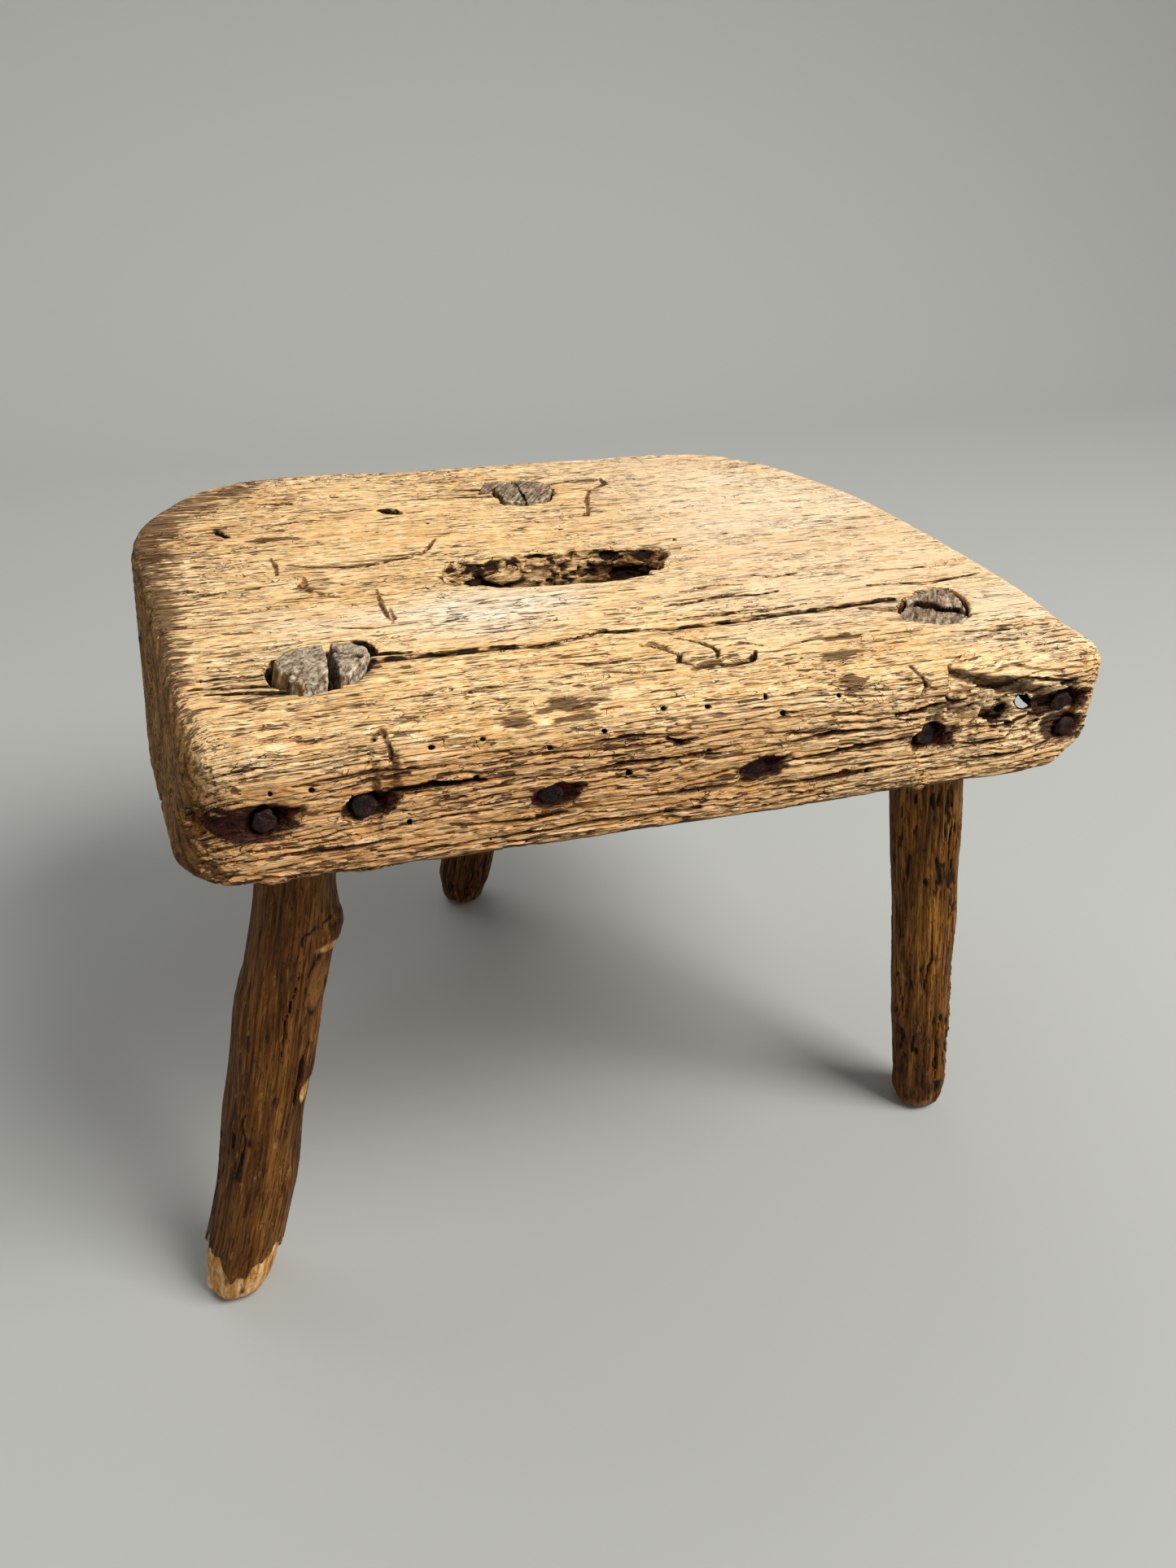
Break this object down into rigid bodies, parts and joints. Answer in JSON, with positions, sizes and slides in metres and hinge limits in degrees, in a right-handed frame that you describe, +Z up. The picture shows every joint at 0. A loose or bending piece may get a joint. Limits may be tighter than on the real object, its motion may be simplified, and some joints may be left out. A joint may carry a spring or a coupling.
{
  "type": "milking stool",
  "caption": "Low primitive stool: thick worn plank seat with a hand slot, on splayed round stick legs with wedged through tenons and iron nails left in the edge.",
  "frame": {"origin": "middle of the stool's overall footprint, on the floor it stands on", "axes": "+X along the straight front edge of the seat, towards its right end; +Y from the straight front edge to the rounded back; +Z up"},
  "size_m": [0.3892, 0.308, 0.29],
  "materials": {
    "seat_wood": "bare weathered honey-coloured softwood, deep grain furrows, cracks and worm holes, satin where worn",
    "leg_wood": "dark brown stick with old patina, bare pale wood where the foot was whittled",
    "wedge_wood": "grey-brown weathered end grain",
    "shim_wood": "dark grey-brown splinter",
    "rusty_iron": "dark rusted wrought iron"
  },
  "bodies": {
    "root": {"seat_slab": "seat_wood", "leg_front_left": "leg_wood", "leg_front_right": "leg_wood", "leg_rear": "leg_wood", "wedge_front_left": "wedge_wood", "wedge_rear": "wedge_wood", "shim_rear": "shim_wood", "shim_front_right": "shim_wood", "nail_front_1": "rusty_iron", "nail_front_2": "rusty_iron", "nail_front_3": "rusty_iron", "nail_front_4": "rusty_iron", "nail_front_5": "rusty_iron", "nail_front_6": "rusty_iron", "nail_front_7": "rusty_iron", "nail_left_end": "rusty_iron"}
  },
  "joints": []
}
